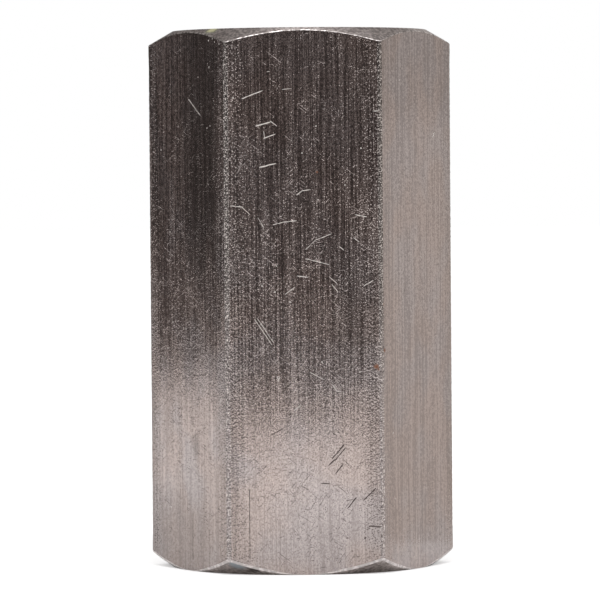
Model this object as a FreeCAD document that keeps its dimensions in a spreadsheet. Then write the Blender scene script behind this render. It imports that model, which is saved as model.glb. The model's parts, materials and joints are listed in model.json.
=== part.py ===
# Hexagon coupling nut: a long nut that joins two threaded rods end to end.
#
# The real nut is one piece. A length is cut from cold drawn hexagon bar, drilled and tapped
# right through, countersunk at both mouths, and its two ends are turned to a chamfer that
# takes the corners of the hexagon off. Each end was turned in its own cut, so the two
# chamfers differ a little.
#
# The origin is the centre of the lower end face, +Z runs up the thread, and two of the six
# flats face along Y. Lengths are in millimetres and angles in degrees.
import FreeCAD, Part
import math
import os

import Sketcher

DRIVING_DIMENSIONS = {
    "across_flats": (29.5, "width of the hexagon bar between opposite flats, sold as 30"),
    "body_length": (60.0, "length of the nut, three thread diameters"),
    "arris_radius": (0.6, "rounding that drawing and wear leave on the six long edges"),
    "top_chamfer_inset": (0.5, "how far the upper face's rim lies inside the flats"),
    "top_chamfer_angle": (30.0, "slope of the upper chamfer, measured from the end face"),
    "bottom_chamfer_inset": (0.05, "how far the lower face's rim lies inside the flats"),
    "bottom_chamfer_angle": (35.0, "slope of the lower chamfer, measured from the end face"),
    "thread_diameter": (20.0, "nominal diameter of the metric coarse thread"),
    "thread_pitch": (2.5, "advance of the thread in one turn"),
    "countersink_lip": (0.75, "how far each countersink's rim lies outside the thread"),
    "countersink_angle": (120.0, "included angle of the countersink at each mouth"),
}

SIDES = 6
# The drilled bore of an ISO metric nut leaves threads 5/8 of the 60 degree triangle deep.
THREAD_DEPTH_PER_PITCH = 5 / 8 * math.sqrt(3) / 2
# The chamfering tool's profile runs this far outside the bar's corners.
TOOL_OVERRUN = 2.0

CORNER_REACH = f"sizes.across_flats / 2 / cos(180 deg / {SIDES})"
BORE_DIAMETER = f"sizes.thread_diameter - 2 * {THREAD_DEPTH_PER_PITCH} * sizes.thread_pitch"

doc = FreeCAD.newDocument("coupling_nut")


def make_sheet():
    """The spreadsheet of driving dimensions, each in a cell with its own alias."""
    sheet = doc.addObject("Spreadsheet::Sheet", "sizes")
    for row, (alias, (value, meaning)) in enumerate(DRIVING_DIMENSIONS.items(), start=1):
        sheet.set(f"A{row}", meaning)
        sheet.set(f"B{row}", str(value))
        sheet.setAlias(f"B{row}", alias)
    doc.recompute()
    return sheet


def origin_plane(body, role):
    """One of the body's own three origin planes."""
    return next(item for item in body.Origin.OriginFeatures if item.Role == role)


def new_sketch(body, name, plane_role):
    """An empty sketch on one of the body's origin planes."""
    sketch = body.newObject("Sketcher::SketchObject", name)
    sketch.AttachmentSupport = [(origin_plane(body, plane_role), "")]
    sketch.MapMode = "FlatFace"
    return sketch


def drive(sketch, name, expression, constraint):
    """Adds a named constraint to the sketch and ties its value to the sheet."""
    sketch.renameConstraint(sketch.addConstraint(constraint), name)
    sketch.setExpression(f"Constraints.{name}", expression)


def closed_outline(sketch, corners):
    """Straight sides through the corners, joined end to end. Returns the sides' numbers."""
    points = [FreeCAD.Vector(x, y, 0) for x, y in corners]
    sides = [
        sketch.addGeometry(Part.LineSegment(start, end), False)
        for start, end in zip(points, points[1:] + points[:1])
    ]
    for side, following in zip(sides, sides[1:] + sides[:1]):
        sketch.addConstraint(Sketcher.Constraint("Coincident", side, 2, following, 1))
    return sides


def pad_hexagon_bar(body, sheet):
    """The blank: a length of hexagon bar with two corners on X and two flats facing Y."""
    sketch = new_sketch(body, "hexagon_section", "XY_Plane")
    half_width = sheet.across_flats / 2
    corner_reach = half_width / math.cos(math.pi / SIDES)
    turns = [2 * math.pi * corner / SIDES for corner in range(SIDES)]
    sides = closed_outline(
        sketch, [(corner_reach * math.cos(turn), corner_reach * math.sin(turn)) for turn in turns]
    )
    centre, up = FreeCAD.Vector(0, 0, 0), FreeCAD.Vector(0, 0, 1)
    inscribed = sketch.addGeometry(Part.Circle(centre, up, half_width), True)
    sketch.addConstraint(Sketcher.Constraint("Coincident", inscribed, 3, -1, 1))
    for side in sides:
        sketch.addConstraint(Sketcher.Constraint("Tangent", side, inscribed))
    for side in sides[1:-1]:
        sketch.addConstraint(Sketcher.Constraint("Equal", sides[0], side))
    sketch.addConstraint(Sketcher.Constraint("PointOnObject", sides[0], 1, -1))
    width = Sketcher.Constraint("Diameter", inscribed, sheet.across_flats)
    drive(sketch, "across_flats", "sizes.across_flats", width)

    bar = body.newObject("PartDesign::Pad", "hexagon_bar")
    bar.Profile = sketch
    bar.setExpression("Length", "sizes.body_length")
    doc.recompute()


def round_arrises(body, sheet):
    """The six long edges, because drawn bar is never quite sharp."""
    bar = body.Tip
    long_edges = [
        f"Edge{number}"
        for number, edge in enumerate(bar.Shape.Edges, start=1)
        if edge.BoundBox.ZLength > sheet.body_length / 2
    ]
    arrises = body.newObject("PartDesign::Fillet", "rounded_arrises")
    arrises.Base = (bar, long_edges)
    arrises.setExpression("Radius", "sizes.arris_radius")
    doc.recompute()


def turn_chamfer(body, sheet, end, rises):
    """One end's chamfer, turned with a triangular profile that starts at the face's rim.

    The profile's slant falls away from the upper face, and rises from the lower one.
    """
    height = 0.0 if rises else sheet.body_length
    sign = 1 if rises else -1
    slope = sign * getattr(sheet, f"{end}_chamfer_angle")
    rim = sheet.across_flats / 2 - getattr(sheet, f"{end}_chamfer_inset")
    reach = sheet.across_flats / 2 / math.cos(math.pi / SIDES) + TOOL_OVERRUN
    slant_end = height + (reach - rim) * math.tan(math.radians(slope))

    sketch = new_sketch(body, f"{end}_chamfer_profile", "XZ_Plane")
    slant, outside, face_line = closed_outline(
        sketch, [(rim, height), (reach, slant_end), (reach, height)]
    )
    sketch.addConstraint(Sketcher.Constraint("Vertical", outside))
    sketch.addConstraint(Sketcher.Constraint("Horizontal", face_line))
    if rises:
        sketch.addConstraint(Sketcher.Constraint("PointOnObject", slant, 1, -1))
    else:
        level = Sketcher.Constraint("DistanceY", -1, 1, slant, 1, height)
        drive(sketch, "face_height", "sizes.body_length", level)
    rim_radius = Sketcher.Constraint("DistanceX", -1, 1, slant, 1, rim)
    drive(sketch, "rim_radius", f"sizes.across_flats / 2 - sizes.{end}_chamfer_inset", rim_radius)
    tool_reach = Sketcher.Constraint("DistanceX", -1, 1, face_line, 1, reach)
    drive(sketch, "tool_reach", f"{CORNER_REACH} + {TOOL_OVERRUN}", tool_reach)
    angle = Sketcher.Constraint("Angle", slant, math.radians(slope))
    drive(sketch, "slope", f"{sign} * sizes.{end}_chamfer_angle * 1 deg", angle)

    chamfer = body.newObject("PartDesign::Groove", f"{end}_chamfer")
    chamfer.Profile = sketch
    chamfer.ReferenceAxis = (sketch, ["V_Axis"])
    chamfer.Angle = 360
    doc.recompute()


def drill_bore(body, sheet):
    """The bore at the thread's crests, right through, with the lower mouth's countersink."""
    sketch = new_sketch(body, "bore_centre", "XY_Plane")
    centre, up = FreeCAD.Vector(0, 0, 0), FreeCAD.Vector(0, 0, 1)
    circle = sketch.addGeometry(Part.Circle(centre, up, sheet.thread_diameter / 2), False)
    sketch.addConstraint(Sketcher.Constraint("Coincident", circle, 3, -1, 1))
    across = Sketcher.Constraint("Diameter", circle, sheet.thread_diameter)
    drive(sketch, "thread_diameter", "sizes.thread_diameter", across)
    doc.recompute()

    bore = body.newObject("PartDesign::Hole", "thread_bore")
    bore.Profile = sketch
    doc.recompute()
    bore.Reversed = True
    bore.DepthType = "ThroughAll"
    bore.HoleCutType = "Countersink"
    bore.HoleCutCustomValues = True
    bore.setExpression("Diameter", BORE_DIAMETER)
    bore.setExpression("HoleCutDiameter", "sizes.thread_diameter + 2 * sizes.countersink_lip")
    bore.setExpression("HoleCutCountersinkAngle", "sizes.countersink_angle")
    doc.recompute()


def mirror_countersink(body):
    """The upper mouth, which is the bore's other end mirrored about mid length."""
    bore = body.Tip
    mid_length = body.newObject("PartDesign::Plane", "mid_length")
    mid_length.AttachmentSupport = [(origin_plane(body, "XY_Plane"), "")]
    mid_length.MapMode = "FlatFace"
    mid_length.setExpression(".AttachmentOffset.Base.z", "sizes.body_length / 2")
    doc.recompute()

    upper_mouth = body.newObject("PartDesign::Mirrored", "upper_mouth")
    upper_mouth.Originals = [bore]
    upper_mouth.MirrorPlane = (mid_length, [""])
    body.Tip = upper_mouth
    doc.recompute()


def check_features(body):
    """Stops the script unless every feature was computed and each cut took metal away."""
    for item in doc.Objects:
        if {"Invalid", "Error"} & set(item.State):
            raise RuntimeError(f"{item.Name} failed to recompute: {item.State}")
    before = None
    for feature in body.Group:
        if feature.isDerivedFrom("PartDesign::Feature") and not feature.Shape.isNull():
            if before is not None and feature.Shape.Volume >= before:
                raise RuntimeError(f"{feature.Name} took no metal away")
            before = feature.Shape.Volume
    if body.Shape.isNull() or not body.Shape.isValid() or len(body.Shape.Solids) != 1:
        raise RuntimeError(f"{body.Label} is not one valid solid")


def make_coupling_nut(sheet):
    """The nut, in the order in which it is made."""
    body = doc.addObject("PartDesign::Body", "coupling_nut")
    body.Label = "coupling_nut"
    pad_hexagon_bar(body, sheet)
    round_arrises(body, sheet)
    turn_chamfer(body, sheet, "top", rises=False)
    turn_chamfer(body, sheet, "bottom", rises=True)
    drill_bore(body, sheet)
    mirror_countersink(body)
    check_features(body)
    return body


nut = make_coupling_nut(make_sheet())
os.makedirs("parts", exist_ok=True)
nut.Shape.exportStep(f"parts/{nut.Label}.step")
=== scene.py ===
import json
import math
import random

import bpy
from mathutils import Matrix, Vector


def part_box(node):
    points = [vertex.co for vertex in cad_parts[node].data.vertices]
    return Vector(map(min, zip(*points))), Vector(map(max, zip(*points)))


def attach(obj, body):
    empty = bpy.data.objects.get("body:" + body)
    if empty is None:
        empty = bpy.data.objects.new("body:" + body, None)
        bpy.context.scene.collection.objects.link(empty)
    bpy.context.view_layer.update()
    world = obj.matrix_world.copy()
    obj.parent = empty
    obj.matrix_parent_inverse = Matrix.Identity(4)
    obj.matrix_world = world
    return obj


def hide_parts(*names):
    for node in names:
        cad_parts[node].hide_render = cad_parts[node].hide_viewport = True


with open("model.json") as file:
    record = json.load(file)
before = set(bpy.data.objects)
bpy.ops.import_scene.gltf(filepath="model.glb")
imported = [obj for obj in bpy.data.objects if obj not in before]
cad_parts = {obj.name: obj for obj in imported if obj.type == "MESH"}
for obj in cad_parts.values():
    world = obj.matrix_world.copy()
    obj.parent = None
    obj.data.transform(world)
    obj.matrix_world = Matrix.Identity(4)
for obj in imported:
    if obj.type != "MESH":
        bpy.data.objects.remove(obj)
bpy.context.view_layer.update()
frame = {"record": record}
bpy.ops.object.select_all(action="DESELECT")
mm = 0.001

# The camera.
# A long lens stands about half a metre in front of the nut, a little above its lower end, and
# is tilted slightly down and turned slightly to the nut's left, as the photograph was taken.
photo_width = 600
sensor_width = 36 * mm
focal_length = 284.4 * mm
camera_place = Vector((-12.3 * mm, -533.1 * mm, 44.5 * mm))
camera_turn = math.radians(-1.309)
camera_dip = math.radians(1.585)
camera_roll = math.radians(-0.444)

camera_data = bpy.data.cameras.new("camera")
camera_data.sensor_width = sensor_width / mm
camera_data.lens = focal_length / mm
camera = bpy.data.objects.new("camera", camera_data)
bpy.context.scene.collection.objects.link(camera)
camera_aim = (
    Matrix.Rotation(camera_turn, 3, "Z")
    @ Matrix.Rotation(math.radians(90) - camera_dip, 3, "X")
    @ Matrix.Rotation(camera_roll, 3, "Z")
)
camera.matrix_world = Matrix.Translation(camera_place) @ camera_aim.to_4x4()
bpy.context.scene.camera = camera

# The hexagon bar.
# The nut is one piece of cold drawn mild steel. It starts as a length of hexagon bar, sawn a
# little too long so that both ends can be faced, with two of its six flats square to Y.
lowest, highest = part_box("coupling_nut")
nut_length = highest.z - lowest.z
half_across_flats = (highest.y - lowest.y) / 2
corner_reach = half_across_flats / math.cos(math.pi / 6)
facing_stock = 3 * mm

bpy.ops.mesh.primitive_cylinder_add(
    vertices=6,
    radius=corner_reach,
    depth=nut_length + 2 * facing_stock,
    location=(0, 0, nut_length / 2),
    rotation=(0, 0, math.radians(30)),
)
nut = bpy.context.object
nut.name = "nut_body"
bpy.ops.object.transform_apply(location=True, rotation=True, scale=True)
drawn_steel = bpy.data.materials.new("drawn_steel")
nut.data.materials.append(drawn_steel)

# The drawn surface of the bar.
# The die leaves fine lines along the bar, which spread a reflection sideways only, and the
# steel's tint drifts from warm to cool. A finish has its sizes in mm along X, Y and Z.
hair_line_size = (0.14, 0.28, 9)
broad_line_size = (0.9, 1.8, 30)
side_line_size = (0.5, 0.27, 14)
grain_size = (0.13, 0.26, 0.20)
side_grain_size = (0.8, 0.4, 0.3)
streak_size = (0.13, 0.26, 0.7)
hair_line_depth = 0.012
broad_line_depth = 0.03
streak_depth = 0.009
grain_depth = 0.003
drawn_roughness = 0.24
smoothest_line = 0.17
roughest_line = 0.265
warm_steel = ((0.475, 0.394, 0.365), (0.66, 0.550, 0.511))
cool_steel = ((0.46, 0.399, 0.387), (0.645, 0.569, 0.552))
tint_size = (6, 4, 7)


def steel_nodes(material, roughness, anisotropy, quarter_turn):
    """A bare metal surface with its grain's direction taken from the nut's axis."""
    material.use_nodes = True
    tree = material.node_tree
    surface = tree.nodes["Principled BSDF"]
    surface.inputs["Metallic"].default_value = 1
    surface.inputs["Roughness"].default_value = roughness
    surface.inputs["Anisotropic"].default_value = anisotropy
    surface.inputs["Anisotropic Rotation"].default_value = quarter_turn
    direction = tree.nodes.new("ShaderNodeTangent")
    direction.direction_type = "RADIAL"
    direction.axis = "Z"
    tree.links.new(direction.outputs["Tangent"], surface.inputs["Tangent"])
    place = tree.nodes.new("ShaderNodeTexCoord")
    return tree, surface, place.outputs["Object"]


def stretched(tree, place, size, centre=(0, 0, 0), lean=0.0):
    """Places measured from a centre in units of these sizes, leaning by degrees about Y."""
    units = tree.nodes.new("ShaderNodeMapping")
    units.vector_type = "TEXTURE"
    units.inputs["Location"].default_value = centre
    units.inputs["Scale"].default_value = [side * mm for side in size]
    units.inputs["Rotation"].default_value = (0, math.radians(lean), 0)
    tree.links.new(place, units.inputs["Vector"])
    return units.outputs["Vector"]


def noise(tree, place, size, detail=1.0, lean=0.0):
    """Noise with grains of this size, in millimetres along X, Y and Z."""
    pattern = tree.nodes.new("ShaderNodeTexNoise")
    pattern.inputs["Scale"].default_value = 1
    pattern.inputs["Detail"].default_value = detail
    tree.links.new(stretched(tree, place, size, lean=lean), pattern.inputs["Vector"])
    return pattern.outputs["Fac"]


def fade(tree, value, low, high, to_low=0.0, to_high=1.0):
    """Maps low..high smoothly onto to_low..to_high and holds it outside."""
    ramp = tree.nodes.new("ShaderNodeMapRange")
    ramp.interpolation_type = "SMOOTHSTEP"
    ramp.inputs["From Min"].default_value = low
    ramp.inputs["From Max"].default_value = high
    ramp.inputs["To Min"].default_value = to_low
    ramp.inputs["To Max"].default_value = to_high
    tree.links.new(value, ramp.inputs["Value"])
    return ramp.outputs["Result"]


def worked_out(tree, operation, *values):
    """A Math node on sockets and plain numbers."""
    node = tree.nodes.new("ShaderNodeMath")
    node.operation = operation
    for socket, value in zip(node.inputs, values):
        if isinstance(value, (int, float)):
            socket.default_value = value
        else:
            tree.links.new(value, socket)
    return node.outputs["Value"]


def product(tree, first, *others):
    """Several values multiplied together."""
    for other in others:
        first = worked_out(tree, "MULTIPLY", first, other)
    return first


def weighted(tree, *terms):
    """Values added up, each times its weight."""
    total = 0
    for value, weight in terms:
        total = worked_out(tree, "MULTIPLY_ADD", value, weight, total)
    return total


def axes_of(tree, place):
    """The sockets X, Y and Z of a place."""
    axes = tree.nodes.new("ShaderNodeSeparateXYZ")
    tree.links.new(place, axes.inputs["Vector"])
    return axes.outputs


def blend(tree, share, first, second):
    """Mixes two colours, each a socket or a plain colour."""
    mix = tree.nodes.new("ShaderNodeMix")
    mix.data_type = "RGBA"
    tree.links.new(share, mix.inputs["Factor"])
    for socket, value in zip((mix.inputs[6], mix.inputs[7]), (first, second)):
        if isinstance(value, tuple):
            socket.default_value = (*value, 1)
        else:
            tree.links.new(value, socket)
    return mix.outputs[2]


flat_tree, flat_surface, flat_place = steel_nodes(drawn_steel, drawn_roughness, 1.0, 0.0)
flat_axes = axes_of(flat_tree, flat_place)
hair_lines = noise(flat_tree, flat_place, hair_line_size, detail=2)
broad_lines = noise(flat_tree, flat_place, broad_line_size, detail=2)
side_lines = noise(flat_tree, flat_place, side_line_size)
grain = noise(flat_tree, flat_place, grain_size)
side_grain = noise(flat_tree, flat_place, side_grain_size)
streaks = noise(flat_tree, flat_place, streak_size)
lines = weighted(flat_tree, (broad_lines, 0.15), (hair_lines, 0.85))
rougher_above = fade(flat_tree, flat_axes["Z"], 11 * mm, 22 * mm, 0.4, 1.0)
flat_relief = [
    (hair_lines, hair_line_depth),
    (broad_lines, broad_line_depth),
    (product(flat_tree, streaks, rougher_above), streak_depth),
    (product(flat_tree, grain, rougher_above), grain_depth),
]
line_roughness = fade(flat_tree, lines, 0.42, 0.62, smoothest_line, roughest_line)
flat_tree.links.new(line_roughness, flat_surface.inputs["Roughness"])

# The four flats that don't face along Y show coarser lines, because they are seen aslant.
off_centre = worked_out(flat_tree, "ABSOLUTE", flat_axes["Y"])
aslant = fade(flat_tree, off_centre, 14.7 * mm, 14.3 * mm, 0.0, 0.5)
side_line_weight = 1.3
side_shade = weighted(flat_tree, (side_lines, side_line_weight), (side_grain, 1.0))
side_shade = worked_out(flat_tree, "SUBTRACT", side_shade, (side_line_weight + 1.0) / 2)
shade = weighted(flat_tree, (grain, 0.35), (lines, 0.65), (side_shade, aslant))
shade = fade(flat_tree, shade, 0.38, 0.62)
tint = fade(flat_tree, noise(flat_tree, flat_place, tint_size), 0.36, 0.64)
warm = blend(flat_tree, shade, *warm_steel)
cool = blend(flat_tree, shade, *cool_steel)
flat_colour = blend(flat_tree, tint, warm, cool)

# The six long edges of the bar.
# The drawing die leaves them slightly round. Knocks on other steel have since roughened them
# from end to end, so they carry fine nicks, except close to the chamfers.
arris_radius = 0.6 * mm
arris_width = arris_radius * math.tan(math.pi / 6)
arris_strips = 6
nicked_from = 2.6 * mm
nicked_to = nut_length - 2.6 * mm
nick_spacing = 0.13 * mm
nick_size = 0.16 * mm
nick_depth = 0.075 * mm
nick_contrast = 1.3
nick_level = 0.97
nicked_share = 0.75
nicks_fade_over = 1.5 * mm
flatness = 0.003 * mm
uprightness = 0.01


def pick(kind, chosen):
    """Leaves in edit mode with just those edges or faces selected that are chosen."""
    bpy.context.view_layer.objects.active = nut
    bpy.ops.object.mode_set(mode="EDIT")
    bpy.ops.mesh.select_mode(type=kind)
    bpy.ops.mesh.select_all(action="DESELECT")
    bpy.ops.object.mode_set(mode="OBJECT")
    for item in nut.data.edges if kind == "EDGE" else nut.data.polygons:
        item.select = chosen(item)
    bpy.ops.object.mode_set(mode="EDIT")


def ends_of(edge):
    """The two end points of one of the nut's edges."""
    return [nut.data.vertices[number].co for number in edge.vertices]


def runs_along_bar(edge):
    """True for an edge that runs along the nicked length of the bar, or all along the bar."""
    start, end = ends_of(edge)
    middle = (start.z + end.z) / 2
    return abs(start.z - end.z) > nick_spacing / 2 and nicked_from < middle < nicked_to


def on_flat(face):
    """True for a face that lies on one of the six flats of the bar."""
    from_axis = face.center.dot(face.normal)
    upright = abs(face.normal.z) < uprightness
    return upright and abs(from_axis - half_across_flats) < flatness


arris_steel = bpy.data.materials.new("arris_steel")
nut.data.materials.append(arris_steel)
arris_number = nut.data.materials.find(arris_steel.name)
pick("EDGE", runs_along_bar)
bpy.ops.mesh.bevel(
    offset=arris_width,
    segments=arris_strips,
    affect="EDGES",
    clamp_overlap=False,
    material=arris_number,
)
for height in (nicked_from, nicked_to):
    bpy.ops.mesh.select_all(action="SELECT")
    bpy.ops.mesh.bisect(plane_co=(0, 0, height), plane_no=(0, 0, 1))
bpy.ops.object.mode_set(mode="OBJECT")
pick("EDGE", runs_along_bar)
bpy.ops.mesh.subdivide(number_cuts=round((nicked_to - nicked_from) / nick_spacing / 3))
bpy.ops.object.mode_set(mode="OBJECT")
pick("EDGE", runs_along_bar)
bpy.ops.mesh.subdivide(number_cuts=2)
bpy.ops.object.mode_set(mode="OBJECT")

nick_strength = nut.vertex_groups.new(name="nick_strength")
for point in nut.data.vertices:
    from_end = min(point.co.z - nicked_from, nicked_to - point.co.z)
    around = math.degrees(math.atan2(point.co.y, point.co.x)) % 60
    from_arris = math.radians(min(around, 60 - around)) * corner_reach
    if from_arris < nicked_share * arris_width and from_end > 0:
        nick_strength.add([point.index], min(from_end / nicks_fade_over, 1), "REPLACE")
nick_pattern = bpy.data.textures.new("nick_pattern", "CLOUDS")
nick_pattern.noise_scale = nick_size
nick_pattern.noise_depth = 2
nick_pattern.contrast = nick_contrast
nicks = nut.modifiers.new("nicks", "DISPLACE")
nicks.texture = nick_pattern
nicks.texture_coords = "LOCAL"
nicks.vertex_group = nick_strength.name
nicks.mid_level = nick_level
nicks.strength = nick_depth
bpy.ops.object.modifier_apply(modifier=nicks.name)
nut.vertex_groups.clear()

pick("FACE", on_flat)
bpy.ops.mesh.dissolve_faces()
bpy.ops.object.mode_set(mode="OBJECT")

# The knocks' finish: bright points on the long edges, partly burnished steel and partly a
# painted glint, a painted shade between them higher up, and small dints in the flats beside them.
knock_size = (0.14, 0.14, 0.14)
knock_depth = 0.035
lit_between_knocks_below = (0.42, 0.36, 0.35)
shaded_between_knocks_above = (0.16, 0.14, 0.13)
burnished_knock_glint = (1.0, 0.91, 0.87)
dint_size = (0.16, 0.16, 0.24)
dint_depth = 0.015
dinted_from = 15.8 * mm
dinted_fully = 16.6 * mm
dinted_until = 16.84 * mm
arris_reach = 16.90 * mm


def relief(tree, surface, *layers):
    """Gives the surface a relief of several patterns, each with its depth in millimetres."""
    height = weighted(tree, *((pattern, depth * mm) for pattern, depth in layers))
    bump = tree.nodes.new("ShaderNodeBump")
    bump.inputs["Strength"].default_value = 1
    bump.inputs["Distance"].default_value = 1
    tree.links.new(height, bump.inputs["Height"])
    tree.links.new(bump.outputs["Normal"], surface.inputs["Normal"])


def length_of(tree, vector):
    """The length of a vector."""
    length = tree.nodes.new("ShaderNodeVectorMath")
    length.operation = "LENGTH"
    tree.links.new(vector, length.inputs[0])
    return length.outputs["Value"]


tree, surface, place = steel_nodes(arris_steel, 0.2, 0.0, 0.0)
knocks = noise(tree, place, knock_size, detail=2)
relief(tree, surface, (knocks, knock_depth))
# Painted shade: between the knocks the long edges are darker higher up.
shaded_upper_part = fade(tree, axes_of(tree, place)["Z"], 12 * mm, 36 * mm)
between_knocks_painted_shade = blend(tree, shaded_upper_part, lit_between_knocks_below, shaded_between_knocks_above)
knocked = fade(tree, knocks, 0.48, 0.64)
tree.links.new(
    blend(tree, knocked, between_knocks_painted_shade, burnished_knock_glint), surface.inputs["Base Color"]
)

cross_section = flat_tree.nodes.new("ShaderNodeVectorMath")
cross_section.operation = "MULTIPLY"
cross_section.inputs[1].default_value = (1, 1, 0)
flat_tree.links.new(flat_place, cross_section.inputs[0])
from_axis = length_of(flat_tree, cross_section.outputs["Vector"])
near_arris = product(
    flat_tree,
    fade(flat_tree, from_axis, dinted_from, dinted_fully),
    fade(flat_tree, from_axis, arris_reach, dinted_until),
)
dints = product(flat_tree, noise(flat_tree, flat_place, dint_size, detail=2), near_arris)
flat_relief.append((dints, dint_depth))

# The two turned ends.
# Each end is faced flat and chamfered in a lathe, so both are surfaces of revolution about the
# thread's axis. The bar and this turned envelope share the metal that is left.
turned_facets = 144
top_rim_radius = half_across_flats - 0.5 * mm
top_slope = math.radians(30)
bottom_rim_radius = half_across_flats - 0.05 * mm
bottom_slope = math.radians(35)
swing = corner_reach + 2 * mm
merging_distance = 0.001 * mm


def spun_tool(name, outline):
    """A closed solid of revolution about Z, from its half outline of (radius, height)."""
    bpy.ops.mesh.primitive_plane_add(size=mm)
    tool = bpy.context.object
    tool.name = name
    bpy.ops.object.mode_set(mode="EDIT")
    bpy.ops.mesh.select_mode(type="VERT")
    bpy.ops.mesh.merge(type="CENTER")
    here = (0.0, 0.0)
    for number, there in enumerate(outline):
        step = (there[0] - here[0], 0, there[1] - here[1])
        if number == 0:
            bpy.ops.transform.translate(value=step)
        else:
            bpy.ops.mesh.extrude_region_move(TRANSFORM_OT_translate={"value": step})
        here = there
    bpy.ops.mesh.select_all(action="SELECT")
    bpy.ops.mesh.spin(steps=turned_facets, angle=2 * math.pi, center=(0, 0, 0), axis=(0, 0, 1))
    bpy.ops.mesh.select_all(action="SELECT")
    bpy.ops.mesh.remove_doubles(threshold=merging_distance)
    bpy.ops.mesh.normals_make_consistent(inside=False)
    bpy.ops.object.mode_set(mode="OBJECT")
    return tool


def machine(tool, operation, material):
    """Cuts the nut with a tool, whose faces bring their own finish, and puts the tool away."""
    tool.data.materials.append(material)
    cut = nut.modifiers.new("cut", "BOOLEAN")
    cut.object = tool
    cut.operation = operation
    cut.solver = "EXACT"
    cut.material_mode = "TRANSFER"
    bpy.context.view_layer.objects.active = nut
    bpy.ops.object.modifier_apply(modifier=cut.name)
    bpy.data.objects.remove(tool)


turned_steel = bpy.data.materials.new("turned_steel")
lathe_envelope = spun_tool(
    "lathe_envelope",
    [
        (0, 0),
        (bottom_rim_radius, 0),
        (swing, (swing - bottom_rim_radius) * math.tan(bottom_slope)),
        (swing, nut_length - (swing - top_rim_radius) * math.tan(top_slope)),
        (top_rim_radius, nut_length),
        (0, nut_length),
    ],
)
machine(lathe_envelope, "INTERSECT", turned_steel)

# The turned finish: fine rings, and a mottled tarnish whose colours are painted lighter at the
# upper end and darker at the lower end, as painted light and shade.
ring_size = (1.6, 1.6, 0.16)
ring_depth = 0.006
mottle_size = (0.35, 0.35, 0.3)
lower_roughness = 0.34
upper_roughness = 0.38
shaded_lower_tarnish = ((0.28, 0.24, 0.22), (0.58, 0.51, 0.49))
lit_upper_tarnish = ((0.36, 0.31, 0.30), (0.78, 0.70, 0.68))
end_tree, end_surface, end_place = steel_nodes(turned_steel, lower_roughness, 0.8, 0.25)
rings = noise(end_tree, end_place, ring_size, detail=2)
relief(end_tree, end_surface, (rings, ring_depth))
mottled = noise(end_tree, end_place, mottle_size, detail=4)
tarnish = fade(end_tree, mottled, 0.35, 0.65)
# Painted light and shade: the upper end's colours are a lighter copy of the lower end's.
upper_end = fade(end_tree, axes_of(end_tree, end_place)["Z"], 20 * mm, 40 * mm)
shaded_lower_colour = blend(end_tree, tarnish, *shaded_lower_tarnish)
lit_upper_colour = blend(end_tree, tarnish, *lit_upper_tarnish)
end_colour = blend(end_tree, upper_end, shaded_lower_colour, lit_upper_colour)
end_roughness = fade(end_tree, upper_end, 0, 1, lower_roughness, upper_roughness)
end_tree.links.new(end_roughness, end_surface.inputs["Roughness"])

# The worn edges of the chamfers.
# Where the flats meet the chamfers, handling has rubbed the sharp edge into a narrow bright
# land. The lower one is broad at the corners, but at mid flat the chamfer leaves it no room.
worn_width = 0.20 * mm
worn_strips = 3
top_worn_share = 0.42
least_room = 0.05 * mm
share_of_room = 0.25
least_wear = 0.01
dash_size = (0.4, 0.4, 0.4)
dash_depth = 0.03
lower_land_rubbed = 0.6
dull_land = (0.28, 0.25, 0.24)
bright_land = (0.97, 0.90, 0.88)


def larger(tree, first, second):
    """The larger of two values."""
    return worked_out(tree, "MAXIMUM", first, second)


wear = nut.data.attributes.new("bevel_weight_edge", "FLOAT", "EDGE")
turned_number = nut.data.materials.find(turned_steel.name)
finishes = {}
for face in nut.data.polygons:
    for key in face.edge_keys:
        finishes.setdefault(key, set()).add(face.material_index == turned_number)
for edge in nut.data.edges:
    start, end = ends_of(edge)
    if len(finishes[edge.key]) == 2:
        middle = (start + end) / 2
        at_top = middle.z > nut_length / 2
        rim_radius, slope = (
            (top_rim_radius, top_slope) if at_top else (bottom_rim_radius, bottom_slope)
        )
        room = (Vector(middle.xy).length - rim_radius) / math.cos(slope) - least_room
        widest = top_worn_share if at_top else 1.0
        share = min(widest, share_of_room * room / worn_width)
        wear.data[edge.index].value = max(share, least_wear)
worn_lands = nut.modifiers.new("worn_lands", "BEVEL")
worn_lands.limit_method = "WEIGHT"
worn_lands.width = worn_width
worn_lands.segments = worn_strips
worn_lands.use_clamp_overlap = False
worn_steel = bpy.data.materials.new("worn_steel")
nut.data.materials.append(worn_steel)
worn_lands.material = nut.data.materials.find(worn_steel.name)
bpy.ops.object.modifier_apply(modifier=worn_lands.name)

tree, surface, place = steel_nodes(worn_steel, 0.3, 0.0, 0.0)
dashes = noise(tree, place, dash_size, detail=3)
relief(tree, surface, (dashes, dash_depth))
height_up_nut = axes_of(tree, place)["Z"]
lower_end = fade(tree, height_up_nut, 40 * mm, 20 * mm, 0.0, lower_land_rubbed)
rubbed = larger(tree, fade(tree, dashes, 0.40, 0.60), lower_end)
tree.links.new(blend(tree, rubbed, dull_land, bright_land), surface.inputs["Base Color"])

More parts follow.
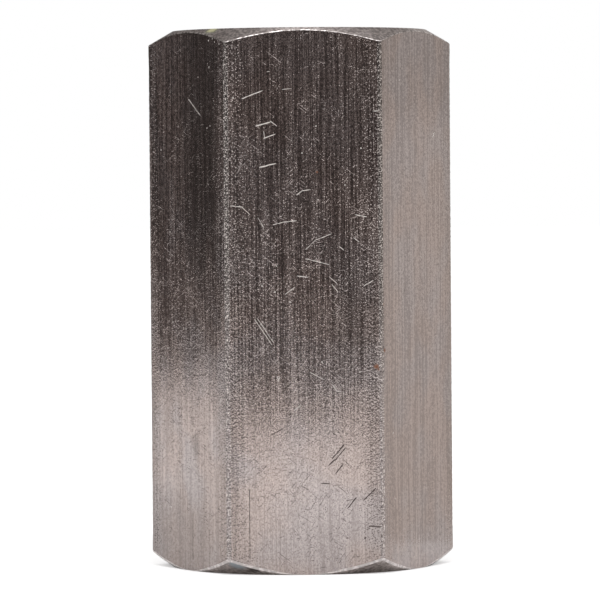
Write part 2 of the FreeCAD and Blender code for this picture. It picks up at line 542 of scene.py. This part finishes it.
# Marks of use.
# Scratches and small dents lie where the photograph shows them, on the three flats in view,
# with a few strays all round. Widths are in mm, and places are pixels across and down.
random.seed(20)
flat_turns = (math.radians(210), math.radians(270), math.radians(330))
mark_half_length = 0.56
bluntest_mark = 0.6
mark_proud = 0.17
# Scratches high on the flats, whose bottoms get a painted highlight.
scratches = [
    (0.13, (189, 100), (200.5, 116)),
    (0.13, (242, 99), (262, 90.5)),
    (0.13, (256, 126), (271, 121.5), (277, 126)),
    (0.11, (264, 138), (275, 134)),
    (0.13, (260, 167), (275, 164)),
    (0.12, (297, 195), (302, 191), (309, 190)),
    (0.09, (231, 206), (242, 207), (250, 215)),
    (0.08, (258, 218), (264, 228)),
    (0.10, (273, 225), (283, 222), (296, 221)),
    (0.08, (306, 249), (316, 240), (331, 234)),
    (0.08, (306, 259), (328, 264)),
    (0.11, (354, 238), (359, 242)),
    (0.11, (339, 246), (344, 250)),
    (0.12, (356, 215), (366, 217)),
    (0.11, (286, 294), (295, 287)),
    (0.13, (364, 286), (373.5, 280)),
    (0.11, (329.5, 277), (336.5, 283)),
    (0.11, (332, 284.5), (338, 292)),
    (0.11, (298, 276), (307, 277)),
    (0.11, (373, 111), (380, 110.6)),
    (0.09, (255, 320), (272, 345)),
    (0.09, (257.5, 319), (274, 343)),
    (0.11, (277, 377), (279, 381)),
    (0.11, (280, 377), (278, 381)),
    (0.08, (311, 373), (325, 380)),
    (0.12, (333, 385), (337, 391), (340, 391)),
    (0.12, (295, 410), (300, 406)),
    (0.12, (381, 385), (385, 389)),
]
# Scratches low on the flats, whose bottoms get a painted shade.
painted_dark_scratches = [
    (0.17, (332, 459), (344, 445)),
    (0.13, (334.5, 461), (346, 447.5)),
    (0.15, (329, 465), (334, 460)),
    (0.13, (336, 473), (343, 464)),
    (0.15, (364, 500), (376, 488)),
    (0.14, (348, 508), (356, 498)),
    (0.14, (321, 483), (329, 483.5)),
    (0.12, (271, 435), (282, 429)),
    (0.17, (369, 526), (381, 527)),
    (0.14, (164, 342), (165, 365)),
    (0.12, (193, 512), (193, 560)),
    (0.10, (249.5, 490), (250, 560)),
]
scratch_depth = 0.35
stroke_length = 0.7 * mm
stroke_starts = (0.0, 0.15)
stroke_ends = (0.9, 1.2)
stroke_wavers = (-0.03, 0.03)
stroke_breadths = (0.8, 1.15)
dents = [
    (0.25, (240, 76)),
    (0.22, (207.5, 64)),
    (0.25, (318.6, 200.6)),
    (0.25, (286.7, 284.5)),
    (0.22, (323, 364)),
    (0.22, (322, 344)),
    (0.30, (198, 78)),
    (0.25, (347, 537.5)),
    (0.25, (365, 537.5)),
    (0.35, (153, 328)),
    (0.22, (186, 359)),
    (0.25, (209, 383)),
    (0.22, (167, 399)),
    (0.25, (193, 423.5)),
    (0.22, (435.5, 67)),
    (0.22, (434, 96)),
    (0.25, (430, 521)),
]
dent_half_height = 0.3
dent_depth = 0.25
glints = [
    (212.5, 38.5),
    (208.4, 40.5),
    (214.4, 42),
    (219, 44),
    (240, 76),
    (233, 98),
    (207.5, 64),
    (209, 67),
    (207, 128),
    (210, 126),
    (316, 126),
    (302, 153),
    (361, 148),
    (345, 185),
    (318, 200),
    (290, 302),
    (275, 292),
    (262, 286),
    (360, 372),
    (322, 362),
    (173, 322),
    (186, 329),
    (168, 348),
    (161, 150),
    (170, 232),
]
glint_half_height = 0.07 * mm
glint_width = 0.15 * mm
glint_depth = 0.05 * mm
strays_per_flat = 14
stray_spread = (-7.5, 7.5)
stray_heights = (2.5, 57.5)
stray_lengths = (0.1, 0.1, 0.15, 0.3, 0.9)
stray_widths = (0.07, 0.11)
stray_depth = 0.3


def point_on_nut(column, row):
    """Where the line of sight through a pixel of the photograph meets the nut's visible flats."""
    across = (column - photo_width / 2) / photo_width * sensor_width / focal_length
    up = (photo_width / 2 - row) / photo_width * sensor_width / focal_length
    sight = camera_aim @ Vector((across, up, -1))
    nearest = 0
    for turn in flat_turns:
        outward = Vector((math.cos(turn), math.sin(turn), 0))
        reach = (half_across_flats - camera_place.dot(outward)) / sight.dot(outward)
        if reach > nearest:
            nearest = reach
            facing = outward
    return camera_place + nearest * sight, facing


# Two finishes for the marks: a painted highlight and a painted shade.
scratch_painted_highlight = bpy.data.materials.new("scratch_painted_highlight")
scratch_painted_shade = bpy.data.materials.new("scratch_painted_shade")
batches = []


def cut_mark(start, end, width, depth, outward, finish):
    """A slim tapering cutter, sunk half into the flat between two points of its surface.

    It joins the first batch of cutters of its finish in which it touches no other.
    """
    along = end - start
    lengthwise = along.normalized() if along.length > 0 else Vector((0, 0, 1))
    sideways = outward.cross(lengthwise)
    bpy.ops.mesh.primitive_uv_sphere_add(segments=8, ring_count=6, radius=1)
    cutter = bpy.context.object
    turned = Matrix((sideways, outward, lengthwise)).transposed().to_4x4()
    half_length = max(along.length * mark_half_length, width * bluntest_mark)
    size = Matrix.Diagonal((width / 2, depth, half_length, 1))
    centre = (start + end) / 2 + mark_proud * depth * outward
    cutter.data.transform(Matrix.Translation(centre) @ turned @ size)
    reach = along.length * mark_half_length + width
    for batch_finish, batch in batches:
        apart = all((centre - other).length > reach + far for _, other, far in batch)
        if batch_finish == finish and apart:
            break
    else:
        batch = []
        batches.append((finish, batch))
    batch.append((cutter, centre, reach))


for finish, group in ((scratch_painted_highlight, scratches), (scratch_painted_shade, painted_dark_scratches)):
    for width, *bends in group:
        for start_pixel, end_pixel in zip(bends, bends[1:]):
            start, outward = point_on_nut(*start_pixel)
            end = point_on_nut(*end_pixel)[0]
            strokes = max(1, round((end - start).length / stroke_length))
            for stroke in range(strokes):
                near = start.lerp(end, (stroke - random.uniform(*stroke_starts)) / strokes)
                far = start.lerp(end, (stroke + random.uniform(*stroke_ends)) / strokes)
                waver = Vector((0, 0, random.uniform(*stroke_wavers))) * mm
                breadth = random.uniform(*stroke_breadths) * width * mm
                depth = scratch_depth * breadth
                cut_mark(near + waver, far + waver, breadth, depth, outward, finish)
for width, pixel in dents:
    place, outward = point_on_nut(*pixel)
    size = width * mm
    lean = Vector((0, 0, dent_half_height * size))
    cut_mark(place - lean, place + lean, size, dent_depth * size, outward, drawn_steel)
for pixel in glints:
    place, outward = point_on_nut(*pixel)
    lean = Vector((0, 0, glint_half_height))
    cut_mark(place - lean, place + lean, glint_width, glint_depth, outward, scratch_painted_highlight)
for side in range(6):
    turn = math.radians(30 + 60 * side)
    outward = Vector((math.cos(turn), math.sin(turn), 0))
    level = Vector((-math.sin(turn), math.cos(turn), 0))
    for stray in range(strays_per_flat):
        place = outward * half_across_flats + level * random.uniform(*stray_spread) * mm
        place.z = random.uniform(*stray_heights) * mm
        lean = random.uniform(0, math.pi)
        length = random.choice(stray_lengths) * mm
        half = (level * math.cos(lean) + Vector((0, 0, math.sin(lean)))) * length / 2
        width = random.uniform(*stray_widths) * mm
        finish = scratch_painted_highlight if stray % 2 else scratch_painted_shade
        cut_mark(place - half, place + half, width, stray_depth * width, outward, finish)
for finish, batch in batches:
    bpy.ops.object.select_all(action="DESELECT")
    for cutter, _, _ in batch:
        cutter.select_set(True)
    bpy.context.view_layer.objects.active = batch[0][0]
    bpy.ops.object.join()
    machine(bpy.context.object, "DIFFERENCE", finish)

# The bottoms of the scratches are torn steel, with a painted highlight in those high on the
# flats and in the glints, and a painted shade in those low down; the strays take either in turn.
torn_size = (0.13, 0.13, 0.13)
torn_depth = 0.008
for steel, dark_tear, light_tear in (
    (scratch_painted_highlight, (0.80, 0.74, 0.70), (0.97, 0.93, 0.90)),
    (scratch_painted_shade, (0.10, 0.08, 0.07), (0.26, 0.22, 0.20)),
):
    tree, surface, place = steel_nodes(steel, 0.44, 0.0, 0.0)
    torn = noise(tree, place, torn_size, detail=2)
    relief(tree, surface, (torn, torn_depth))
    tree.links.new(blend(tree, torn, dark_tear, light_tear), surface.inputs["Base Color"])

# The bruised surface of the flats.
# Where the nut has been knocked about it has small pits and fine rubs in three directions.
# They come thickest along the deeper lines and higher up, as do the painted glints and
# painted dark specks in the colour, which stand for sparkle where the flats mirror dark cards.
bruised_size = (2.5, 2.5, 2.5)
pit_size = (0.20, 0.34, 0.26)
pit_depth = 0.020
rub_depth = 0.009
# A painted glint and a painted dark speck, for sparkle where the flats mirror the dark cards.
painted_glint_speck = (0.97, 0.86, 0.82)
painted_dark_speck = (0.14, 0.12, 0.11)


def crossed_over(tree, share, first, second):
    """Goes from the first value to the second as the share rises from 0 to 1."""
    change = worked_out(tree, "SUBTRACT", second, first)
    return worked_out(tree, "MULTIPLY_ADD", change, share, first)


bruised = fade(flat_tree, noise(flat_tree, flat_place, bruised_size, detail=2), 0.40, 0.64)
on_deep_lines = fade(flat_tree, lines, 0.44, 0.62, 0.08, 0.38)
pitted = weighted(flat_tree, (on_deep_lines, 1.0), (bruised, 0.12))
more_above = fade(flat_tree, flat_axes["Z"], 8 * mm, 28 * mm, 0.55, 1.0)
pitted = larger(flat_tree, product(flat_tree, pitted, more_above), near_arris)
pit_cells = flat_tree.nodes.new("ShaderNodeTexVoronoi")
pit_cells.inputs["Scale"].default_value = 1
flat_tree.links.new(stretched(flat_tree, flat_place, pit_size), pit_cells.inputs["Vector"])
pits = product(flat_tree, fade(flat_tree, pit_cells.outputs["Distance"], 0.38, 0.14), pitted)
flat_relief.append((pits, pit_depth))

rubs = 0
for lean, length, faintest, strongest in (
    (35, 1.3, 0.66, 0.78),
    (-52, 1.6, 0.66, 0.78),
    (78, 1.0, 0.68, 0.80),
):
    strokes = noise(flat_tree, flat_place, (0.16, length, length), lean=lean)
    rubs = larger(flat_tree, fade(flat_tree, strokes, faintest, strongest), rubs)
flat_relief.append((product(flat_tree, rubs, bruised), rub_depth))

# Painted sparkle in the colour of the flats: thickest higher up, where the flats mirror the dark
# cards, and least on the right-hand flat.
left_flat = fade(flat_tree, flat_axes["X"], -8.5 * mm, -9.0 * mm)
less_at_right = fade(flat_tree, flat_axes["X"], 8.3 * mm, 8.9 * mm, 1.0, 0.2)
painted_sparkle = fade(flat_tree, flat_axes["Z"], 12 * mm, 34 * mm, 0.12, 0.75)
painted_sparkle = product(flat_tree, painted_sparkle, less_at_right)
left_painted_sparkle = fade(flat_tree, flat_axes["Z"], 21 * mm, 42 * mm, 0.0, 0.7)
painted_sparkle = crossed_over(flat_tree, left_flat, painted_sparkle, left_painted_sparkle)
specks = weighted(flat_tree, (hair_lines, 0.4), (grain, 0.6))
left_specks = weighted(flat_tree, (side_lines, 0.5), (side_grain, 0.5))
specks = crossed_over(flat_tree, left_flat, specks, left_specks)
painted_glints = product(flat_tree, fade(flat_tree, specks, 0.51, 0.63), painted_sparkle)
flat_colour = blend(flat_tree, painted_glints, flat_colour, painted_glint_speck)
painted_dark_specks = product(flat_tree, fade(flat_tree, specks, 0.50, 0.40), painted_sparkle)
flat_colour = blend(flat_tree, painted_dark_specks, flat_colour, painted_dark_speck)

# The bore and its thread.
# The nut is drilled right through, countersunk at both mouths and tapped M20 x 2.5, right-hand.
# The thread's crests lie at the bore that the solid model has, and its roots at the full 20 mm.
threads = {mount["name"]: mount["dims"] for mount in frame["record"]["mounts"] if mount["dims"]}
bore_radius = threads["top_thread"]["r_mm"] * mm
thread_radius = 10 * mm
pitch = 2.5 * mm
flank_angle = math.radians(30)
countersink_depth = (nut_length - threads["top_thread"]["length_mm"] * mm) / 2
countersink_slope = math.radians(60)
overrun = 2 * mm
mouth_radius = bore_radius + (countersink_depth + overrun) * math.tan(countersink_slope)

tapped_steel = bpy.data.materials.new("tapped_steel")
drill = spun_tool(
    "drill",
    [
        (0, -overrun),
        (mouth_radius, -overrun),
        (bore_radius, countersink_depth),
        (bore_radius, nut_length - countersink_depth),
        (mouth_radius, nut_length + overrun),
        (0, nut_length + overrun),
    ],
)
machine(drill, "DIFFERENCE", tapped_steel)

root_flat = pitch / 8
tooth_overlap = 0.35 * mm
tooth_depth = thread_radius - bore_radius + tooth_overlap
tooth_base = root_flat + 2 * tooth_depth * math.tan(flank_angle)
start_height = -2 * pitch
turns = math.ceil((nut_length - 2 * start_height) / pitch)
bpy.ops.mesh.primitive_plane_add(
    size=1,
    location=(thread_radius - tooth_depth / 2, 0, start_height),
    rotation=(math.radians(90), 0, 0),
)
tap = bpy.context.object
tap.name = "tap"
tap.scale = (tooth_depth, tooth_base, 1)
bpy.ops.object.transform_apply(location=True, rotation=True, scale=True)
bpy.ops.object.mode_set(mode="EDIT")
bpy.ops.mesh.select_mode(type="VERT")
bpy.ops.mesh.select_all(action="DESELECT")
bpy.ops.object.mode_set(mode="OBJECT")
for corner in tap.data.vertices:
    corner.select = corner.co.x > thread_radius - tooth_depth / 2
bpy.ops.object.mode_set(mode="EDIT")
bpy.ops.transform.resize(
    value=(1, 1, root_flat / tooth_base), center_override=(0, 0, start_height)
)
bpy.ops.mesh.select_all(action="SELECT")
bpy.ops.mesh.delete(type="ONLY_FACE")
bpy.ops.object.mode_set(mode="OBJECT")
helix = tap.modifiers.new("helix", "SCREW")
helix.axis = "Z"
helix.screw_offset = pitch
helix.iterations = turns
helix.steps = turned_facets // 2
helix.render_steps = helix.steps
bpy.ops.object.modifier_apply(modifier=helix.name)
bpy.ops.object.mode_set(mode="EDIT")
bpy.ops.mesh.select_all(action="SELECT")
bpy.ops.mesh.fill_holes(sides=0)
bpy.ops.mesh.select_all(action="SELECT")
bpy.ops.mesh.normals_make_consistent(inside=False)
bpy.ops.object.mode_set(mode="OBJECT")
machine(tap, "DIFFERENCE", tapped_steel)

# The tapped finish is darker, with lines that run round with the tool.
cut_line_size = (2.5, 2.5, 0.2)
cut_line_depth = 0.008
tarnish_size = (2, 2, 2)
pale_bore = (0.35, 0.31, 0.28)
dark_bore = (0.27, 0.24, 0.22)
tree, surface, place = steel_nodes(tapped_steel, 0.4, 0.5, 0.25)
relief(tree, surface, (noise(tree, place, cut_line_size, detail=2), cut_line_depth))
bore_tarnish = noise(tree, place, tarnish_size)
tree.links.new(blend(tree, bore_tarnish, pale_bore, dark_bore), surface.inputs["Base Color"])

# Painted shade, dull patches, rust and grime.
# Painted shade darkens the left-hand flat high on its inner half and at its foot, a few dull
# patches darken it, the front flat and the bands beside the arrises, and rust has begun in small
# spots. The lower chamfer carries grime and a painted shade where it mirrors the floor in the
# nut's shadow, and the upper one a pale oil stain. Reaches are in mm.
dull_and_painted_shade = (0.16, 0.14, 0.13)
inner_half_painted_shade = 0.62
dull_patches = [
    (0.3, (346, 312), 2.4, 10),
    # A painted shadow at the foot of the left-hand flat.
    (0.3, (180, 550), 12, 9),
    (0.4, (196, 446), 1.0, 2.0),
]
arrises_dulled = 0.10
rusty = (0.27, 0.12, 0.07)
rust_spots = [
    (0.22, (383.3, 304.4)),
    (0.27, (384.5, 350.5)),
    (0.36, (376.5, 366.5)),
    (0.26, (379.5, 369)),
    (0.18, (317, 172)),
]
rust_size = (0.16, 0.16, 0.16)
rust_metallic = 0.3
grime_and_shade_spots = [
    (1.3, (236, 568), (0.42, 0.45, 0.48)),
    # A painted shade, where the lower chamfer mirrors the floor in the nut's shadow.
    (1.0, (254, 571), (0.10, 0.085, 0.08)),
]
stain_place = Vector((-9.8, -10.7, 59.8)) * mm
stain_reach = 1.2
stain_middle_reach = 0.7
stain_rim = (0.13, 0.13, 0.08)
stain_middle = (0.55, 0.52, 0.32)
stain_metallic = 0.2


def spot(tree, place, centre, reach, ragged):
    """A round spot with a ragged edge about a point, with its reach in millimetres."""
    away = tree.nodes.new("ShaderNodeVectorMath")
    away.operation = "DISTANCE"
    away.inputs[1].default_value = centre
    tree.links.new(place, away.inputs[0])
    frayed = worked_out(tree, "MULTIPLY_ADD", ragged, reach * mm, away.outputs["Value"])
    return fade(tree, frayed, 1.6 * reach * mm, 0.9 * reach * mm)


def soft_patch(tree, place, centre, across, along):
    """A soft upright oval about a point, with its half width and half height in millimetres."""
    oval = stretched(tree, place, (across, across, along), centre)
    return fade(tree, length_of(tree, oval), 1.0, 0.3)


# Painted shade high on the inner half of the left-hand flat.
inner_half = product(
    flat_tree,
    fade(flat_tree, flat_axes["X"], -14.5 * mm, -11.5 * mm),
    fade(flat_tree, flat_axes["X"], -8.6 * mm, -10 * mm),
    fade(flat_tree, flat_axes["Z"], 25 * mm, 42 * mm),
)
dulled = [(inner_half, inner_half_painted_shade)]
for strength, pixel, across, along in dull_patches:
    patch = soft_patch(flat_tree, flat_place, point_on_nut(*pixel)[0], across, along)
    dulled.append((patch, strength))
dulled.append((near_arris, arrises_dulled))
# The dull patches and the painted shade darken the flats' colour.
flat_colour = blend(flat_tree, weighted(flat_tree, *dulled), flat_colour, dull_and_painted_shade)

ragged = noise(flat_tree, flat_place, rust_size, detail=2)
rust = 0
for reach, pixel in rust_spots:
    rust_spot = spot(flat_tree, flat_place, point_on_nut(*pixel)[0], reach, ragged)
    rust = larger(flat_tree, rust_spot, rust)
flat_colour = blend(flat_tree, rust, flat_colour, rusty)
rust_shine = fade(flat_tree, rust, 0, 1, 1.0, rust_metallic)
flat_tree.links.new(rust_shine, flat_surface.inputs["Metallic"])
flat_tree.links.new(flat_colour, flat_surface.inputs["Base Color"])
relief(flat_tree, flat_surface, *flat_relief)

# Grime, and a painted shade, on the lower chamfer.
for reach, pixel, spot_colour in grime_and_shade_spots:
    chamfer_spot = spot(end_tree, end_place, point_on_nut(*pixel)[0], reach, mottled)
    end_colour = blend(end_tree, chamfer_spot, end_colour, spot_colour)
stain = spot(end_tree, end_place, stain_place, stain_reach, mottled)
in_middle = spot(end_tree, end_place, stain_place, stain_middle_reach, mottled)
stain_colour = blend(end_tree, in_middle, stain_rim, stain_middle)
end_colour = blend(end_tree, stain, end_colour, stain_colour)
stain_shine = fade(end_tree, stain, 0, 1, 1.0, stain_metallic)
end_tree.links.new(stain_shine, end_surface.inputs["Metallic"])
end_tree.links.new(end_colour, end_surface.inputs["Base Color"])

# The finish of the edges, all over the nut.
# The flats and the end faces are true planes, and each nick on an arris glints by itself.
# Everything else is round and shades smoothly.
crease_angle = math.radians(28)
end_face_normal = 0.999
bpy.ops.object.select_all(action="DESELECT")
nut.select_set(True)
bpy.ops.object.shade_smooth_by_angle(angle=crease_angle)
for face in nut.data.polygons:
    nicked = face.material_index == arris_number
    if nicked or on_flat(face) or abs(face.normal.z) > end_face_normal:
        face.use_smooth = False

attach(nut, "root")
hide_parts("coupling_nut")

# The floor.
# A plain pale sheet that shows white and keeps the nut's soft shadow. Mirrored in the nut it
# is darker, above all close to the nut and on the left, where the room is dimmer.
floor_size = 6
paper_white = (0.8, 0.8, 0.8)
paper_glow = 0.5
shadow_from = 12 * mm
shadow_to = 16.5 * mm
dim_from = 13 * mm
dim_to = 250 * mm
dimmest = 0.1
left_side_from = -100 * mm
left_side_to = -30 * mm
left_glow = 0.185
right_glow = 0.39

bpy.ops.mesh.primitive_plane_add(size=floor_size, location=(0, 0, 0))
floor = bpy.context.object
floor.name = "floor"
paper = bpy.data.materials.new("floor_paper")
floor.data.materials.append(paper)
paper.use_nodes = True
tree = paper.node_tree
tree.nodes.remove(tree.nodes["Principled BSDF"])
matt = tree.nodes.new("ShaderNodeBsdfDiffuse")
matt.inputs["Color"].default_value = (*paper_white, 1)
glow = tree.nodes.new("ShaderNodeEmission")
seen = tree.nodes.new("ShaderNodeLightPath")
ground = tree.nodes.new("ShaderNodeTexCoord").outputs["Object"]
from_nut = length_of(tree, ground)
clear_of_nut = fade(tree, from_nut, shadow_from, shadow_to, 0.0, paper_glow)
glow_seen = product(tree, seen.outputs["Is Camera Ray"], clear_of_nut)
well_clear = fade(tree, from_nut, dim_from, dim_to, dimmest, 1.0)
to_right = fade(
    tree, axes_of(tree, ground)["X"], left_side_from, left_side_to, left_glow, right_glow
)
mirrored = larger(tree, seen.outputs["Is Glossy Ray"], seen.outputs["Is Transmission Ray"])
glow_mirrored = product(tree, mirrored, well_clear, to_right)
tree.links.new(worked_out(tree, "ADD", glow_seen, glow_mirrored), glow.inputs["Strength"])
together = tree.nodes.new("ShaderNodeAddShader")
tree.links.new(matt.outputs["BSDF"], together.inputs[0])
tree.links.new(glow.outputs["Emission"], together.inputs[1])
tree.links.new(together.outputs["Shader"], tree.nodes["Material Output"].inputs["Surface"])

# The studio's cards.
# Dark and grey cards stand round the nut, out of the camera's view, for its flats to reflect.
# The dark ones are faintly brown and the grey ones cream, as their reflections are.
brown = (1, 0.88, 0.86)
cream = (1, 0.965, 0.93)
card_facets = 24


def card(name, tint, foot, head, start, end, brightness, far_brightness=None):
    """A curved card of a tint, round the nut's axis between two directions in degrees.

    It stands on a ring and rises to another, each given as (radius, height) in metres. Its
    brightness may change evenly from the first direction to the second.
    """
    bpy.ops.mesh.primitive_plane_add(size=mm)
    screen = bpy.context.object
    screen.name = name
    bpy.ops.object.mode_set(mode="EDIT")
    bpy.ops.mesh.merge(type="CENTER")
    turn = math.radians(start)
    bpy.ops.transform.translate(
        value=(foot[0] * math.cos(turn), foot[0] * math.sin(turn), foot[1])
    )
    inward = head[0] - foot[0]
    rise = (inward * math.cos(turn), inward * math.sin(turn), head[1] - foot[1])
    bpy.ops.mesh.extrude_region_move(TRANSFORM_OT_translate={"value": rise})
    bpy.ops.mesh.select_all(action="SELECT")
    sweep = math.radians(end - start)
    bpy.ops.mesh.spin(steps=card_facets, angle=sweep, center=(0, 0, 0), axis=(0, 0, -1))
    bpy.ops.object.mode_set(mode="OBJECT")
    coat = bpy.data.materials.new(name)
    screen.data.materials.append(coat)
    coat.use_nodes = True
    tree = coat.node_tree
    tree.nodes.remove(tree.nodes["Principled BSDF"])
    shine = tree.nodes.new("ShaderNodeEmission")
    shine.inputs["Color"].default_value = (*tint, 1)
    shine.inputs["Strength"].default_value = brightness
    if far_brightness is not None:
        turned = tree.nodes.new("ShaderNodeMapping")
        turned.inputs["Rotation"].default_value = (0, 0, -math.radians(start + end) / 2)
        seat = tree.nodes.new("ShaderNodeTexCoord")
        tree.links.new(seat.outputs["Object"], turned.inputs["Vector"])
        sideways = axes_of(tree, turned.outputs["Vector"])["Y"]
        edge = foot[0] * math.sin(sweep / 2)
        slide = fade(tree, sideways, -edge, edge, brightness, far_brightness)
        tree.links.new(slide, shine.inputs["Strength"])
    tree.links.new(shine.outputs["Emission"], tree.nodes["Material Output"].inputs["Surface"])
    screen.visible_camera = False
    screen.visible_diffuse = False
    screen.visible_transmission = False
    screen.visible_shadow = False


card("low_front_card", brown, (0.32, 0.0), (0.32, 0.028), 222, 328, 0.135)
card("front_card", brown, (0.32, 0.028), (0.32, 0.29), 222, 328, 0.10)
card("left_card", brown, (0.50, 0.0), (0.50, 0.42), 95, 207, 0.14, 0.06)
card("right_card", cream, (0.045, 0.0), (0.15, 0.052), -32, 95, 0.61)
card("upper_right_card", cream, (0.15, 0.052), (0.40, 0.30), -32, 95, 0.49)
card("rear_canopy", cream, (0.50, 0.2), (0.02, 0.80), 15, 200, 0.24)

# The light.
# One large soft light hangs in front of the nut and above it, in a plain white room.
softbox_width = 0.6
softbox_height = 0.4
softbox_power = 3
softbox_place = Vector((0, -0.5, 0.9))
room_light = 0.7

world = bpy.data.worlds.new("white_room")
bpy.context.scene.world = world
world.use_nodes = True
tree = world.node_tree
seen = tree.nodes.new("ShaderNodeLightPath")
room = tree.nodes["Background"]
room.inputs["Color"].default_value = (1, 1, 1, 1)
room_strength = fade(tree, seen.outputs["Is Diffuse Ray"], 0, 1, 1.0, room_light)
tree.links.new(room_strength, room.inputs["Strength"])
softbox_data = bpy.data.lights.new("softbox", "AREA")
softbox_data.shape = "RECTANGLE"
softbox_data.size = softbox_width
softbox_data.size_y = softbox_height
softbox_data.energy = softbox_power
softbox = bpy.data.objects.new("softbox", softbox_data)
bpy.context.scene.collection.objects.link(softbox)
softbox.location = softbox_place
softbox.rotation_euler = (math.atan2(-softbox_place.y, softbox_place.z), 0, 0)

bpy.context.scene.view_settings.view_transform = "Standard"
